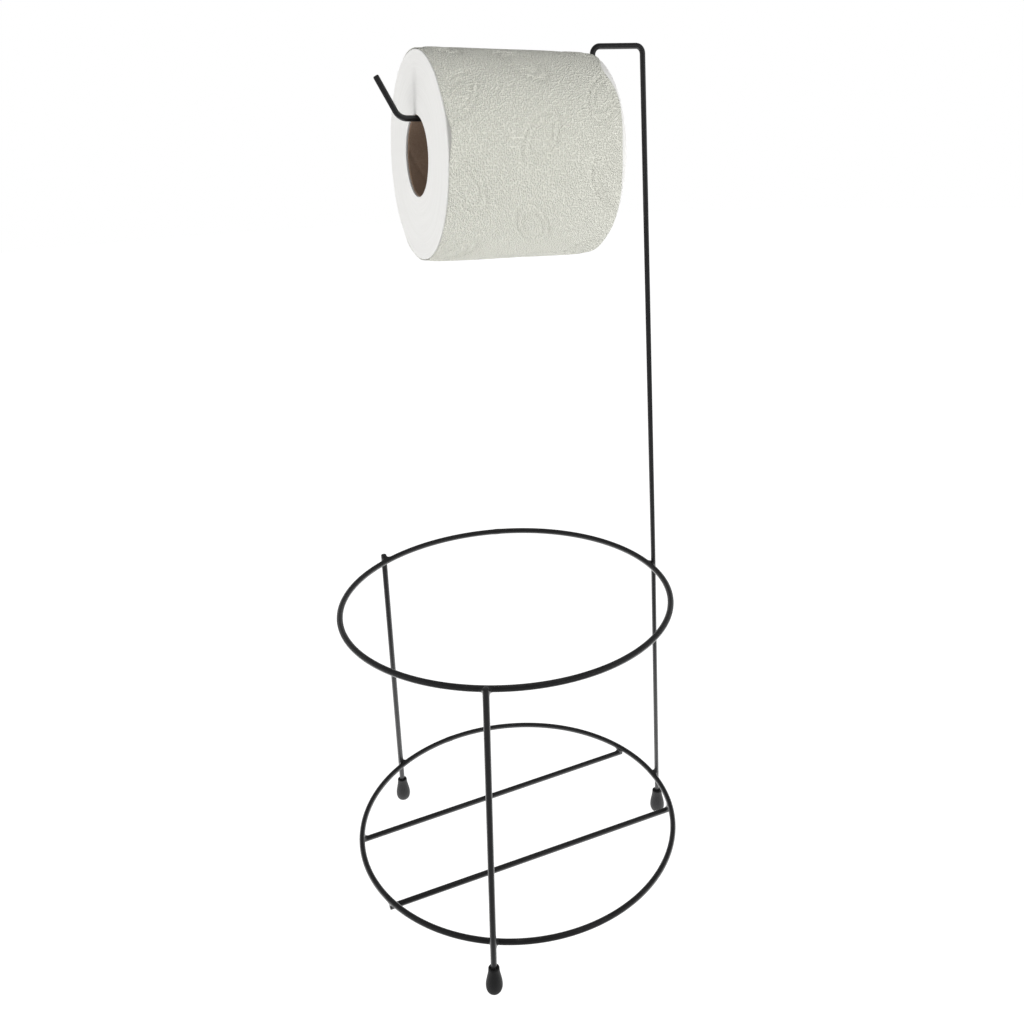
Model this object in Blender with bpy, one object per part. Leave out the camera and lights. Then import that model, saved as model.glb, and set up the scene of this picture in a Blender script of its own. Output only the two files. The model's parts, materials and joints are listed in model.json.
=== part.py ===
"""Free-standing toilet paper holder: a welded wire stand with a spare-roll basket and a hanging roll.

Metres, +Z up. The part stands on the plane Z = 0, and its origin is the middle of its footprint. The tall
post stands on the +X side. Its hook reaches back over the basket towards -X, so the post and the hook's
run, drop, arm and tip all lie in the plane Y = 0.
"""

import math

import bmesh
import bpy
from mathutils import Matrix, Vector

# Clearance that two touching pieces keep between their surfaces.
TOUCH_GAP = 0.0003

# The two gauges of wire: the basket's rings, crossbars and short legs, and the thinner post and arm.
BASKET_WIRE_DIAMETER = 0.0040
POST_WIRE_DIAMETER = 0.0032
WIRE_BEVEL_RESOLUTION = 4

# The two basket rings: their radius and height, both to the middle of the wire.
UPPER_RING_RADIUS = 0.1085
LOWER_RING_RADIUS = 0.1130
UPPER_RING_HEIGHT = 0.2174
LOWER_RING_HEIGHT = 0.0360
RING_SEGMENTS = 72

# The two rods under the lower ring that spare rolls stand on: each rod's distance from the basket's
# middle, and its small turn about +Z in degrees.
CROSSBARS = {
    "rear_crossbar": (0.0351, 2.4),
    "front_crossbar": (-0.0375, 0.9),
}
CROSSBAR_OVERHANG = 0.0014

# The legs stand outside the rings. Each has its angle round the basket, in degrees from the post, at the
# upper ring and at the lower ring: welded by hand, they are a degree or two out of plumb.
LEG_ANGLES = {
    "left": (120.5, 121.0),
    "front": (243.1, 240.5),
    "post": (0.0, 0.0),
}
LEG_TOP_STAND = 0.0012
LEG_END_HEIGHT = 0.0030

# The post is set in a little more above the upper ring than below it: how far in its top stands past the
# line of its lower half, and the radius of that slight bend.
POST_SET_IN = 0.0019
POST_SET_RADIUS = 0.4000

# The hook that the post ends in, along the middle of the wire. The slope and the rise are in degrees.
POST_TOP_HEIGHT = 0.5488
RUN_LENGTH = 0.0319
DROP_LENGTH = 0.0383
ARM_SLOPE = 2.4
ARM_REACH_PAST_ROLL = 0.0087
TIP_LENGTH = 0.0237
TIP_RISE = 62.7
HOOK_BEND_RADIUS = 0.0043
TIP_BEND_RADIUS = 0.0070
BEND_STEP = 15.0

# The rubber feet, pushed on to the wire ends.
FOOT_HEIGHT = 0.0195
FOOT_RIM_RADIUS = 0.0036
FOOT_BELLY_RADIUS = 0.0054
FOOT_BELLY_HEIGHT = 0.0055
FOOT_FLAT_RADIUS = 0.0024
FOOT_BORE_CLEARANCE = 0.0004
FOOT_CURVE_STEPS = 6
FOOT_SIDES = 24

# The hanging roll, and the cardboard tube that it is wound on.
ROLL_LENGTH = 0.1000
ROLL_DIAMETER = 0.1106
CORE_BORE_DIAMETER = 0.0420
CORE_WALL = 0.0010
ROLL_END_PLAY = 0.0021
ROLL_EDGE_ROUND = 0.0012
ROLL_EDGE_SHARE = 0.3
ROLL_SIDES = 64

# A turned piece's edges that are bent more than this, in degrees, are left crisp.
CRISP_EDGE = 35.0

# A weld bead fills the corner of two crossing wires.
WELD_THICKNESS = 0.0020
WELD_LENGTH = 0.0040
WELD_SEGMENTS = 12
WELD_RINGS = 6

# What the named sizes come to.
BASKET_WIRE_RADIUS = BASKET_WIRE_DIAMETER / 2
POST_WIRE_RADIUS = POST_WIRE_DIAMETER / 2
LEG_WIRE_RADII = {"left": BASKET_WIRE_RADIUS, "front": BASKET_WIRE_RADIUS, "post": POST_WIRE_RADIUS}
CORE_BORE_RADIUS = CORE_BORE_DIAMETER / 2
CORE_RADIUS = CORE_BORE_RADIUS + CORE_WALL
ROLL_BORE_RADIUS = CORE_RADIUS + TOUCH_GAP


def clear_scene():
    """Remove every object of the scene that this script is run in."""
    for old in list(bpy.data.objects):
        bpy.data.objects.remove(old, do_unlink=True)


def make_material(name, colour, roughness, metallic):
    """A Principled material with one colour, roughness and metallic value."""
    material = bpy.data.materials.new(name)
    material.use_nodes = True
    shader = material.node_tree.nodes["Principled BSDF"]
    shader.inputs["Base Color"].default_value = (*colour, 1.0)
    shader.inputs["Roughness"].default_value = roughness
    shader.inputs["Metallic"].default_value = metallic
    material.diffuse_color = (*colour, 1.0)
    return material


def polar(radius, degrees, height):
    """A point at this radius and angle round the basket's own axis."""
    angle = math.radians(degrees)
    return Vector((radius * math.cos(angle), radius * math.sin(angle), height))


# ---- Wire ----------------------------------------------------------------------------------------------


def wire_pitch(radius):
    """From the middle of a basket wire to the middle of a wire of this radius welded on to it."""
    return BASKET_WIRE_RADIUS + TOUCH_GAP + radius


def add_wire(name, points, material, radius=BASKET_WIRE_RADIUS, closed=False, location=(0, 0, 0), turn=0.0):
    """A round wire along the points, closed into a ring or with flat ends."""
    curve = bpy.data.curves.new(name, "CURVE")
    curve.dimensions = "3D"
    curve.bevel_depth = radius
    curve.bevel_resolution = WIRE_BEVEL_RESOLUTION
    curve.use_fill_caps = not closed
    spline = curve.splines.new("POLY")
    spline.points.add(len(points) - 1)
    for slot, point in zip(spline.points, points):
        slot.co = (*point, 1.0)
    spline.use_cyclic_u = closed
    spline.use_smooth = True
    curve.materials.append(material)
    wire = bpy.data.objects.new(name, curve)
    wire.location = location
    wire.rotation_euler = (0, 0, math.radians(turn))
    bpy.context.collection.objects.link(wire)
    return wire


def bent_path(corners, radii):
    """The corners joined by straight runs, with an arc of the given radius at each inner corner."""
    path = [corners[0]]
    for before, corner, after, radius in zip(corners, corners[1:], corners[2:], radii):
        come = (corner - before).normalized()
        leave = (after - corner).normalized()
        turn = come.angle(leave)
        tangent = radius * math.tan(turn / 2)
        start = corner - come * tangent
        side = (leave - come * come.dot(leave)).normalized()
        steps = max(2, round(math.degrees(turn) / BEND_STEP))
        for step in range(steps + 1):
            angle = turn * step / steps
            path.append(start + come * radius * math.sin(angle) + side * radius * (1 - math.cos(angle)))
    path.append(corners[-1])
    return path


def bend_tangent(turn_degrees, radius):
    """How much of each straight run an arc of this turn and radius takes up."""
    return radius * math.tan(math.radians(turn_degrees) / 2)


def leg_line(which):
    """A leg's point on the ground, and what it moves sideways for each metre of height."""
    upper_angle, lower_angle = LEG_ANGLES[which]
    pitch = wire_pitch(LEG_WIRE_RADII[which])
    upper = polar(UPPER_RING_RADIUS + pitch, upper_angle, UPPER_RING_HEIGHT)
    lower = polar(LOWER_RING_RADIUS + pitch, lower_angle, LOWER_RING_HEIGHT)
    slope = (upper - lower) / (UPPER_RING_HEIGHT - LOWER_RING_HEIGHT)
    return lower - slope * LOWER_RING_HEIGHT, slope


def add_ring(name, radius, height, material):
    """A horizontal ring of wire round the basket's axis."""
    points = [polar(radius, 360 * step / RING_SEGMENTS, 0) for step in range(RING_SEGMENTS)]
    return add_wire(name, points, material, closed=True, location=AXIS + Vector((0, 0, height)))


def add_crossbar(name, offset, turn, material):
    """A straight rod under the lower ring, cut off just past the ring's own wire."""
    reach = Vector((crossbar_reach(offset) + CROSSBAR_OVERHANG, 0, 0))
    across = Matrix.Rotation(math.radians(turn), 4, "Z") @ Vector((0, offset, 0))
    place = AXIS + across + Vector((0, 0, LOWER_RING_HEIGHT - wire_pitch(BASKET_WIRE_RADIUS)))
    return add_wire(name, [-reach, reach], material, location=place, turn=turn)


def crossbar_reach(offset):
    """From a crossbar's middle to where it crosses the lower ring."""
    return math.sqrt(LOWER_RING_RADIUS**2 - offset**2)


def add_short_leg(name, which, material):
    """A straight leg from inside its rubber foot to just above the upper ring."""
    ground, slope = leg_line(which)
    low = slope * LEG_END_HEIGHT
    high = slope * (UPPER_RING_HEIGHT + BASKET_WIRE_RADIUS + LEG_TOP_STAND)
    return add_wire(name, [low, high], material, location=AXIS + ground)


def add_post_and_arm(name, material):
    """The tall leg: one wire that runs up as the post and is bent over into the hook."""
    ground, slope = leg_line("post")
    set_in = slope * (UPPER_RING_HEIGHT + BASKET_WIRE_RADIUS)
    corners = [slope * LEG_END_HEIGHT, set_in] + [corner - ground for corner in HOOK_CORNERS]
    radii = [POST_SET_RADIUS, HOOK_BEND_RADIUS, HOOK_BEND_RADIUS, HOOK_BEND_RADIUS, TIP_BEND_RADIUS]
    path = bent_path(corners, radii)
    return add_wire(name, path, material, radius=POST_WIRE_RADIUS, location=AXIS + ground)


# ---- Turned pieces -------------------------------------------------------------------------------------


def turned_mesh(name, outline, sides, closed):
    """A mesh turned about Z from (radius, height) points. A closed outline makes a tube."""
    shape = bmesh.new()
    corners = [shape.verts.new((radius, 0, height)) for radius, height in outline]
    edges = [shape.edges.new(pair) for pair in zip(corners, corners[1:])]
    if closed:
        edges.append(shape.edges.new((corners[-1], corners[0])))
    bmesh.ops.spin(
        shape,
        geom=corners + edges,
        cent=(0, 0, 0),
        axis=(0, 0, 1),
        angle=2 * math.pi,
        steps=sides,
        use_merge=True,
    )
    bmesh.ops.remove_doubles(shape, verts=shape.verts, dist=1e-6)
    bmesh.ops.recalc_face_normals(shape, faces=shape.faces)
    mesh = bpy.data.meshes.new(name)
    shape.to_mesh(mesh)
    shape.free()
    mesh.shade_smooth()
    mesh.set_sharp_from_angle(angle=math.radians(CRISP_EDGE))
    return mesh


def add_object(name, mesh, material, location=(0, 0, 0)):
    """An object for the mesh, with its material."""
    mesh.materials.append(material)
    piece = bpy.data.objects.new(name, mesh)
    piece.location = location
    bpy.context.collection.objects.link(piece)
    return piece


def foot_outline(wire_radius):
    """The foot's half section: flat and round bottom, belly, taper, rim and blind bore."""
    outline = [(0, 0)]
    for step in range(FOOT_CURVE_STEPS + 1):
        angle = math.pi / 2 * step / FOOT_CURVE_STEPS
        radius = FOOT_FLAT_RADIUS + (FOOT_BELLY_RADIUS - FOOT_FLAT_RADIUS) * math.sin(angle)
        outline.append((radius, FOOT_BELLY_HEIGHT * (1 - math.cos(angle))))
    for step in range(1, FOOT_CURVE_STEPS + 1):
        share = step / FOOT_CURVE_STEPS
        fullness = (1 + math.cos(math.pi * share)) / 2
        radius = FOOT_RIM_RADIUS + (FOOT_BELLY_RADIUS - FOOT_RIM_RADIUS) * fullness
        outline.append((radius, FOOT_BELLY_HEIGHT + (FOOT_HEIGHT - FOOT_BELLY_HEIGHT) * share))
    bore_radius = wire_radius + FOOT_BORE_CLEARANCE
    bore_floor = LEG_END_HEIGHT - FOOT_BORE_CLEARANCE
    outline += [(bore_radius, FOOT_HEIGHT), (bore_radius, bore_floor), (0, bore_floor)]
    return outline


def add_foot(name, which, material):
    """A rubber foot on a leg's end: level underneath, and leaning with the leg that it is pushed on to."""
    ground, slope = leg_line(which)
    mesh = turned_mesh(name, foot_outline(LEG_WIRE_RADII[which]), FOOT_SIDES, closed=False)
    lean = Matrix.Identity(4)
    lean[0][2] = slope.x
    lean[1][2] = slope.y
    mesh.transform(lean)
    return add_object(name, mesh, material, AXIS + ground)


def tube_outline(inner, outer, length, edge):
    """The half section of a tube, centred on the origin, with its two outer edges rounded off."""
    half = length / 2
    near = ROLL_EDGE_SHARE * edge
    return [
        (inner, -half),
        (outer - edge, -half),
        (outer - near, -half + near),
        (outer, -half + edge),
        (outer, half - edge),
        (outer - near, half - near),
        (outer - edge, half),
        (inner, half),
    ]


def add_core(name, parent, material):
    """The cardboard tube, its origin on the roll's own axis."""
    half = ROLL_LENGTH / 2
    section = [
        (CORE_BORE_RADIUS, -half),
        (CORE_RADIUS, -half),
        (CORE_RADIUS, half),
        (CORE_BORE_RADIUS, half),
    ]
    core = add_object(name, turned_mesh(name, section, ROLL_SIDES, closed=True), material)
    core.parent = parent
    return core


def add_paper(name, parent, material):
    """The wound paper as one thick tube, its origin on the roll's own axis."""
    section = tube_outline(ROLL_BORE_RADIUS, ROLL_DIAMETER / 2, ROLL_LENGTH, ROLL_EDGE_ROUND)
    paper = add_object(name, turned_mesh(name, section, ROLL_SIDES, closed=True), material)
    paper.parent = parent
    return paper


# ---- Weld beads ----------------------------------------------------------------------------------------


def add_weld(name, crossing, along, stacked, tangent, wire_radius, material):
    """A bead in the corner of two crossing wires.

    crossing is the middle of the ring's wire, stacked points from it to the other wire, along is the way
    down the other wire that the bead lies on, tangent is the way the ring runs, and wire_radius is the
    other wire's.
    """
    from_ring = BASKET_WIRE_RADIUS + TOUCH_GAP + WELD_THICKNESS / 2
    from_wire = wire_radius + TOUCH_GAP + WELD_THICKNESS / 2
    towards = wire_pitch(wire_radius) - from_wire
    down = math.sqrt(from_ring**2 - towards**2)
    squareness = math.sqrt(1 - along.dot(tangent) ** 2)
    shape = bmesh.new()
    bmesh.ops.create_uvsphere(shape, u_segments=WELD_SEGMENTS, v_segments=WELD_RINGS, radius=1)
    half_sizes = (WELD_THICKNESS / 2, WELD_THICKNESS / 2, WELD_LENGTH / 2)
    bmesh.ops.scale(shape, vec=half_sizes, verts=shape.verts)
    turn = Vector((0, 0, 1)).rotation_difference(tangent).to_matrix()
    bmesh.ops.rotate(shape, cent=(0, 0, 0), matrix=turn, verts=shape.verts)
    mesh = bpy.data.meshes.new(name)
    shape.to_mesh(mesh)
    shape.free()
    mesh.shade_smooth()
    return add_object(name, mesh, material, crossing + stacked * towards + along * down / squareness)


def add_leg_welds(which, material):
    """The two beads that hold a leg, one under each ring on the leg's inner side."""
    upper_angle, lower_angle = LEG_ANGLES[which]
    rings = {
        "upper": (UPPER_RING_RADIUS, upper_angle, UPPER_RING_HEIGHT),
        "lower": (LOWER_RING_RADIUS, lower_angle, LOWER_RING_HEIGHT),
    }
    for level, (radius, angle, height) in rings.items():
        crossing = AXIS + polar(radius, angle, height)
        outwards = polar(1, angle, 0)
        tangent = polar(1, angle + 90, 0)
        place = (crossing, Vector((0, 0, -1)), outwards, tangent)
        add_weld(f"weld_{which}_{level}", *place, LEG_WIRE_RADII[which], material)


def add_crossbar_welds(name, offset, turn, material):
    """The two beads that hold a crossbar, on top of the bar just inside the lower ring."""
    reach = crossbar_reach(offset)
    for end, side in (("left", -1), ("right", 1)):
        angle = math.degrees(math.atan2(offset, side * reach)) + turn
        crossing = AXIS + polar(LOWER_RING_RADIUS, angle, LOWER_RING_HEIGHT)
        inwards = polar(-side, turn, 0)
        tangent = polar(1, angle + 90, 0)
        place = (crossing, inwards, Vector((0, 0, -1)), tangent)
        add_weld(f"weld_{name}_{end}", *place, BASKET_WIRE_RADIUS, material)


# ---- Places that the sizes lead to ---------------------------------------------------------------------


def footprint_middle():
    """The basket's axis, placed so that the footprint's middle is at the origin."""
    ground, slope = leg_line("post")
    post_reach = (ground + slope * FOOT_BELLY_HEIGHT).x + FOOT_BELLY_RADIUS
    ring_reach = LOWER_RING_RADIUS + BASKET_WIRE_RADIUS
    return Vector(((ring_reach - post_reach) / 2, 0, 0))


def hook_corners():
    """The corners of the hook from the post's top to the tip's end, from the basket's axis."""
    ground, slope = leg_line("post")
    post_top = ground + slope * POST_TOP_HEIGHT - Vector((POST_SET_IN, 0, 0))
    run_end = post_top - Vector((RUN_LENGTH, 0, 0))
    drop_end = run_end - Vector((0, 0, DROP_LENGTH))
    arm_end = drop_end + ARM_DIRECTION * (ROLL_STANDOFF + ROLL_LENGTH + ARM_REACH_PAST_ROLL)
    tip_end = arm_end - polar(TIP_LENGTH, -TIP_RISE, 0).xzy
    return [post_top, run_end, drop_end, arm_end, tip_end]


# The way along the arm from the drop to the tip, and from the drop to the roll's nearer face.
ARM_DIRECTION = -polar(1, -ARM_SLOPE, 0).xzy
ROLL_STANDOFF = bend_tangent(90 + ARM_SLOPE, HOOK_BEND_RADIUS) + ROLL_END_PLAY
AXIS = footprint_middle()
HOOK_CORNERS = hook_corners()


def roll_middle():
    """The middle of the roll: the top of its core's bore hangs on the arm."""
    drop_end = AXIS + HOOK_CORNERS[2]
    hang = CORE_BORE_RADIUS - POST_WIRE_RADIUS - TOUCH_GAP
    below = Vector((-ARM_DIRECTION.z, 0, ARM_DIRECTION.x))
    return drop_end + ARM_DIRECTION * (ROLL_STANDOFF + ROLL_LENGTH / 2) + below * hang


def build():
    """Make every piece of the holder."""
    clear_scene()
    black_wire = make_material("black_wire", (0.035, 0.035, 0.037), 0.42, 0.3)
    black_rubber = make_material("black_rubber", (0.028, 0.028, 0.029), 0.8, 0.0)
    white_tissue = make_material("white_tissue", (0.80, 0.81, 0.77), 0.9, 0.0)
    brown_card = make_material("brown_card", (0.36, 0.27, 0.20), 0.9, 0.0)

    add_ring("upper_ring", UPPER_RING_RADIUS, UPPER_RING_HEIGHT, black_wire)
    add_ring("lower_ring", LOWER_RING_RADIUS, LOWER_RING_HEIGHT, black_wire)
    for name, (offset, turn) in CROSSBARS.items():
        add_crossbar(name, offset, turn, black_wire)
        add_crossbar_welds(name, offset, turn, black_wire)
    add_short_leg("left_leg", "left", black_wire)
    add_short_leg("front_leg", "front", black_wire)
    add_post_and_arm("post_and_arm", black_wire)
    for which in LEG_ANGLES:
        add_leg_welds(which, black_wire)
        add_foot(f"{which}_foot", which, black_rubber)

    roll_axis = bpy.data.objects.new("roll_axis", None)
    roll_axis.location = roll_middle()
    roll_axis.rotation_euler = Vector((0, 0, 1)).rotation_difference(ARM_DIRECTION).to_euler()
    bpy.context.collection.objects.link(roll_axis)
    add_core("roll_core", roll_axis, brown_card)
    add_paper("paper_roll", roll_axis, white_tissue)


build()
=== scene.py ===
import json
import math

import bmesh
import bpy
import numpy as np
from mathutils import Matrix, Vector, geometry, noise


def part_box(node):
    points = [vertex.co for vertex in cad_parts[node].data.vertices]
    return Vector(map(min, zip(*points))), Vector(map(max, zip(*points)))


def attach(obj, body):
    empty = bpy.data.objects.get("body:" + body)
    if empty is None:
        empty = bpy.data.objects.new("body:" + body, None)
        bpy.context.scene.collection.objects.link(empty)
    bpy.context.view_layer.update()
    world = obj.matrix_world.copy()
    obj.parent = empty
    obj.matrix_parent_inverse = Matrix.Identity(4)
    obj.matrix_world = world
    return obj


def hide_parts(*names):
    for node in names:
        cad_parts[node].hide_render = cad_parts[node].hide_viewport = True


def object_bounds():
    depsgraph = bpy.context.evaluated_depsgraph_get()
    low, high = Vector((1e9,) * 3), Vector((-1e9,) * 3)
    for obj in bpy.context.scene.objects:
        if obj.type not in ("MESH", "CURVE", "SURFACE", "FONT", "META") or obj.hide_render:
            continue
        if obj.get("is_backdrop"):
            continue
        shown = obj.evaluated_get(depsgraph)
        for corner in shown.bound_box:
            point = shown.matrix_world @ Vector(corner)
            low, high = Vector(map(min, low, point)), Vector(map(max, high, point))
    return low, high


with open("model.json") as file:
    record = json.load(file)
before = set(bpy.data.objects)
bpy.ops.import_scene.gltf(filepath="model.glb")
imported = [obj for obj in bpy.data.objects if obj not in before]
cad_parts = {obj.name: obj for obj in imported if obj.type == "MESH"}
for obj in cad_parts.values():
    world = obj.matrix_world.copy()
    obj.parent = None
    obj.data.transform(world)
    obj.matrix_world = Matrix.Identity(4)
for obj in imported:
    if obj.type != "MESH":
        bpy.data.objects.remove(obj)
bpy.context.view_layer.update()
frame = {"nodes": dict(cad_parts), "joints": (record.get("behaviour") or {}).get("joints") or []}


# ---- The studio ----------------------------------------------------------------------------------------
# A white floor that glows like a light table under the stand and a white wall all round, with a darker
# ceiling, so that the wires are blackest on top and paler underneath. Three soft lamps light the roll.

CAMERA_PLACE = (-0.19456, -0.52467, 0.51151)
CAMERA_TURN = -21.96
CAMERA_TILT_DOWN = 21.379
CAMERA_ROLL = -2.4616
CAMERA_LENS = 33.163
CAMERA_SHIFT = (-0.01758, -0.02148)
CAMERA_CLIP_START = 0.01
FLOOR_REACH = 5.0
FLOOR_SIDES = 64
FLOOR_COLOUR = (0.28, 0.28, 0.28, 1)
FLOOR_ROUGHNESS = 0.9
FLOOR_SHINE = 0.1
WHITE = (1, 1, 1, 1)
FLOOR_GLOW_NEAR = 1.80
FLOOR_GLOW_FAR = 0.12
FLOOR_GLOW_FRONT = (-0.17, -0.07)
FLOOR_GLOW_WAY = (0.4, 1.0, 0.0)
FLOOR_GLOW_REACH = (0.45, 0.80)
WALL_GLOW = 0.80
CEILING_GLOW = 0.20
CEILING_STARTS = 0.45
DIM_SIDE = (-0.37, -0.86, 0.36)
DIM_STARTS = 0.45
DIM_GLOW = 0.35
LAMPS = {
    "end_lamp": ((-1.25, -0.05, 0.50), 0.40, 2.4),
    "side_lamp": ((-1.10, -0.35, 0.60), 1.40, 8.5),
    "front_lamp": ((0.55, -1.00, 0.66), 0.80, 10.0),
}
LAMPS_AIM = (0.0, 0.0, 0.49)


def put(tree, kind, sockets=None, **settings):
    """A node in a tree, with its settings, and each of its sockets given a value or linked."""
    node = tree.nodes.new(kind)
    for name, value in settings.items():
        setattr(node, name, value)
    for name, value in (sockets or {}).items():
        if isinstance(value, bpy.types.NodeSocket):
            tree.links.new(value, node.inputs[name])
        else:
            node.inputs[name].default_value = value
    return node


camera_data = bpy.data.cameras.new("camera")
camera_data.lens = CAMERA_LENS
camera_data.shift_x, camera_data.shift_y = CAMERA_SHIFT
camera_data.clip_start = CAMERA_CLIP_START
camera = bpy.data.objects.new("camera", camera_data)
camera.matrix_world = (
    Matrix.Translation(CAMERA_PLACE)
    @ Matrix.Rotation(math.radians(CAMERA_TURN), 4, "Z")
    @ Matrix.Rotation(math.radians(90 - CAMERA_TILT_DOWN), 4, "X")
    @ Matrix.Rotation(math.radians(CAMERA_ROLL), 4, "Z")
)
bpy.context.scene.collection.objects.link(camera)
bpy.context.scene.camera = camera
bpy.context.scene.view_settings.view_transform = "Standard"

room = bpy.data.worlds.new("room")
bpy.context.scene.world = room
room.use_nodes = True
wall = room.node_tree
upwards = put(wall, "ShaderNodeSeparateXYZ", {0: put(wall, "ShaderNodeTexCoord").outputs["Generated"]})
glow = put(
    wall,
    "ShaderNodeMapRange",
    {"Value": upwards.outputs["Z"], 1: 0.0, 2: CEILING_STARTS, 3: WALL_GLOW, 4: CEILING_GLOW},
    interpolation_type="SMOOTHSTEP",
)
towards_dim = put(
    wall,
    "ShaderNodeVectorMath",
    {0: put(wall, "ShaderNodeTexCoord").outputs["Generated"], 1: DIM_SIDE},
    operation="DOT_PRODUCT",
)
dim = put(
    wall,
    "ShaderNodeMapRange",
    {"Value": towards_dim.outputs["Value"], 1: DIM_STARTS, 2: 1.0, 3: 1.0, 4: DIM_GLOW},
    interpolation_type="SMOOTHSTEP",
)
room_light = put(wall, "ShaderNodeMath", {0: glow.outputs[0], 1: dim.outputs[0]}, operation="MULTIPLY")
seen = put(
    wall,
    "ShaderNodeMix",
    {0: put(wall, "ShaderNodeLightPath").outputs["Is Camera Ray"], 2: room_light.outputs[0], 3: 1.0},
)
wall.links.new(seen.outputs[0], wall.nodes["Background"].inputs["Strength"])
wall.nodes["Background"].inputs["Color"].default_value = WHITE

floor_paint = bpy.data.materials.new("floor_paint")
floor_paint.use_nodes = True
floor_shader = floor_paint.node_tree.nodes["Principled BSDF"]
floor_shader.inputs["Base Color"].default_value = FLOOR_COLOUR
floor_shader.inputs["Roughness"].default_value = FLOOR_ROUGHNESS
floor_shader.inputs["Specular IOR Level"].default_value = FLOOR_SHINE
floor_shader.inputs["Emission Color"].default_value = WHITE
tree = floor_paint.node_tree
floor_place = put(tree, "ShaderNodeTexCoord").outputs["Object"]
depthwise = put(
    tree, "ShaderNodeVectorMath", {0: floor_place, 1: FLOOR_GLOW_WAY}, operation="DOT_PRODUCT"
).outputs["Value"]
from_stand = put(tree, "ShaderNodeVectorMath", {0: floor_place}, operation="LENGTH").outputs["Value"]
behind_front = put(
    tree,
    "ShaderNodeMapRange",
    {"Value": depthwise, 1: FLOOR_GLOW_FRONT[0], 2: FLOOR_GLOW_FRONT[1]},
    interpolation_type="SMOOTHSTEP",
)
close_by = put(
    tree,
    "ShaderNodeMapRange",
    {"Value": from_stand, 1: FLOOR_GLOW_REACH[0], 2: FLOOR_GLOW_REACH[1], 3: 1.0, 4: 0.0},
    interpolation_type="SMOOTHSTEP",
)
lit = put(tree, "ShaderNodeMath", {0: behind_front.outputs[0], 1: close_by.outputs[0]}, operation="MULTIPLY")
under_glow = put(
    tree, "ShaderNodeMapRange", {"Value": lit.outputs[0], 3: FLOOR_GLOW_FAR, 4: FLOOR_GLOW_NEAR}
)
seen = put(
    tree,
    "ShaderNodeMix",
    {0: put(tree, "ShaderNodeLightPath").outputs["Is Camera Ray"], 2: under_glow.outputs[0], 3: 1.0},
)
tree.links.new(seen.outputs[0], floor_shader.inputs["Emission Strength"])
floor_rim = []
for side in range(FLOOR_SIDES):
    angle = math.tau * side / FLOOR_SIDES
    floor_rim.append((FLOOR_REACH * math.cos(angle), FLOOR_REACH * math.sin(angle), 0))
floor_mesh = bpy.data.meshes.new("floor")
floor_mesh.from_pydata(floor_rim, [], [range(FLOOR_SIDES)])
floor_mesh.materials.append(floor_paint)
floor = bpy.data.objects.new("floor", floor_mesh)
bpy.context.scene.collection.objects.link(floor)
floor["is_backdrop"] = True

for name, (place, size, watts) in LAMPS.items():
    lamp_data = bpy.data.lights.new(name, "AREA")
    lamp_data.size = size
    lamp_data.energy = watts
    lamp = bpy.data.objects.new(name, lamp_data)
    lamp.location = place
    lamp.rotation_euler = (Vector(LAMPS_AIM) - Vector(place)).to_track_quat("-Z", "Y").to_euler()
    lamp.visible_camera = False
    lamp.visible_glossy = False
    bpy.context.scene.collection.objects.link(lamp)


# ---- The two basket rings ------------------------------------------------------------------------------
# Each ring is one length of mild steel wire, rolled round and butt-welded closed, which leaves a small
# swell at its joint. Once welded up, the whole stand is powder coated satin black in one go.

upper_low, upper_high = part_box("upper_ring")
BASKET_WIRE_RADIUS = (upper_high.z - upper_low.z) / 2
WIRE_BEVEL_RESOLUTION = 6
RING_STEPS = 288
RING_OUT_OF_ROUND = 0.00022
RING_LOBES = 3
RING_LOBE_TURN = 900.0
RING_OUT_OF_FLAT = {"upper_ring": 0.00050, "lower_ring": 0.00020}
RING_LOW_ANGLE = 120.0
BUTT_WELD_SWELL = 0.09
BUTT_WELD_WIDTH = 1.1
BUTT_WELD_ANGLES = {"upper_ring": 72.0, "lower_ring": 98.0}
COAT_COLOUR = (0.0105, 0.0105, 0.0112, 1)
COAT_DUSTY = (0.052, 0.052, 0.053, 1)
COAT_ROUGHNESS = (0.24, 0.36)
COAT_PEEL = 0.00005
COAT_SHINE = 0.5
COAT_WORN = 0.35
DUST_SLOPES = (0.35, 1.0)
DUST_PATCHES = (0.42, 0.72)
PROUD_EDGES = (0.52, 0.60)


def start_group(name, inputs, outputs):
    """A new node group with these number inputs and outputs, and its two end nodes."""
    group = bpy.data.node_groups.new(name, "ShaderNodeTree")
    for label, value in inputs.items():
        socket = group.interface.new_socket(label, in_out="INPUT", socket_type="NodeSocketFloat")
        socket.default_value = value
    for label in outputs:
        group.interface.new_socket(label, in_out="OUTPUT", socket_type="NodeSocketFloat")
    return group, group.nodes.new("NodeGroupInput").outputs, group.nodes.new("NodeGroupOutput").inputs


def add_group(tree, group, **values):
    """The group placed in a material, with its own value for each input."""
    node = tree.nodes.new("ShaderNodeGroup")
    node.node_tree = group
    for label, value in values.items():
        node.inputs[label.replace("_", " ")].default_value = value
    return node.outputs


def per_metre(tree, size):
    """A texture scale whose features are as wide as this size in metres."""
    return put(tree, "ShaderNodeMath", {0: 1.0, 1: size}, operation="DIVIDE").outputs[0]


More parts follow.
